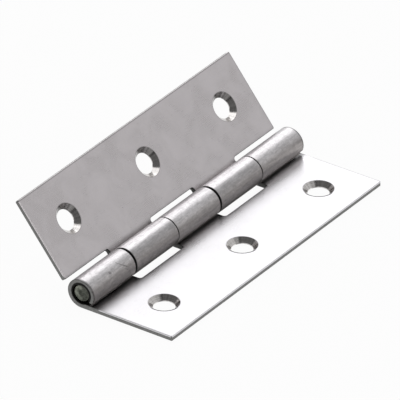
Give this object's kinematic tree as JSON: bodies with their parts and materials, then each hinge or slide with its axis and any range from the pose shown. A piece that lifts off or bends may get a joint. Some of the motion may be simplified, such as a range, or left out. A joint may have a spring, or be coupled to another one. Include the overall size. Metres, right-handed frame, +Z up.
{
  "type": "butt hinge",
  "caption": "Steel butt hinge for furniture: two stamped leaves with countersunk screw holes and rolled, interleaved knuckles that turn on a plain pin.",
  "frame": {"origin": "on the base leaf's seating face, straight below the pin axis at mid-length", "axes": "+Y along the pin, +X from the pin to the base leaf's free edge, +Z up out of the seating face"},
  "size_m": [0.0391, 0.075, 0.0196],
  "materials": {
    "leaf_steel": "satin",
    "pin_steel": "cut wire end"
  },
  "bodies": {
    "base": {"base_leaf": "leaf_steel", "hinge_pin": "pin_steel"},
    "swing": {"swing_leaf": "leaf_steel"}
  },
  "joints": [
    {"name": "leaf_swing", "type": "hinge", "parent": "base", "child": "swing", "pos_m": [0, 0, 0.00325], "axis": [0, -1, 0], "range_deg": [-138.5, 148.5]}
  ]
}
